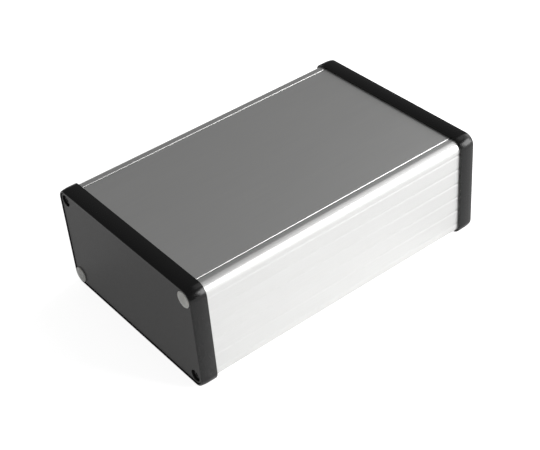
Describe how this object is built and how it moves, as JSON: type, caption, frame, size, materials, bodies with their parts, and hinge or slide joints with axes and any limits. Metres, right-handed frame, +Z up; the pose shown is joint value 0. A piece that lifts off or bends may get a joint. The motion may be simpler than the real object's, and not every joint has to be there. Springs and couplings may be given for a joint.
{
  "type": "extruded aluminium enclosure",
  "caption": "Extruded aluminium case with a sliding cover, black moulded end bezels and dark end panels held by corner screws.",
  "frame": {"origin": "middle of the footprint, on the plane that the case stands on", "axes": "+X across the case, +Y along it from the end with the caps to the other end, +Z up through the cover"},
  "size_m": [0.1054, 0.1666, 0.0554],
  "materials": {
    "body": "clear anodised extrusion, fine lengthwise lines",
    "cover": "clear anodised, satin",
    "bezel": "black, fine spark-eroded texture",
    "panel": "dark grey, fine texture",
    "screw": "blackened steel",
    "cap": "cloudy, translucent, soft gloss"
  },
  "bodies": {
    "root": {"body_extrusion": "body", "cover_plate": "cover", "front_bezel": "bezel", "rear_bezel": "bezel", "front_end_panel": "panel", "rear_end_panel": "panel", "front_screw_1": "screw", "front_screw_2": "screw", "front_screw_3": "screw", "front_screw_4": "screw", "rear_screw_1": "screw", "rear_screw_2": "screw", "rear_screw_3": "screw", "rear_screw_4": "screw", "front_cap_1": "cap", "front_cap_2": "cap"}
  },
  "joints": []
}
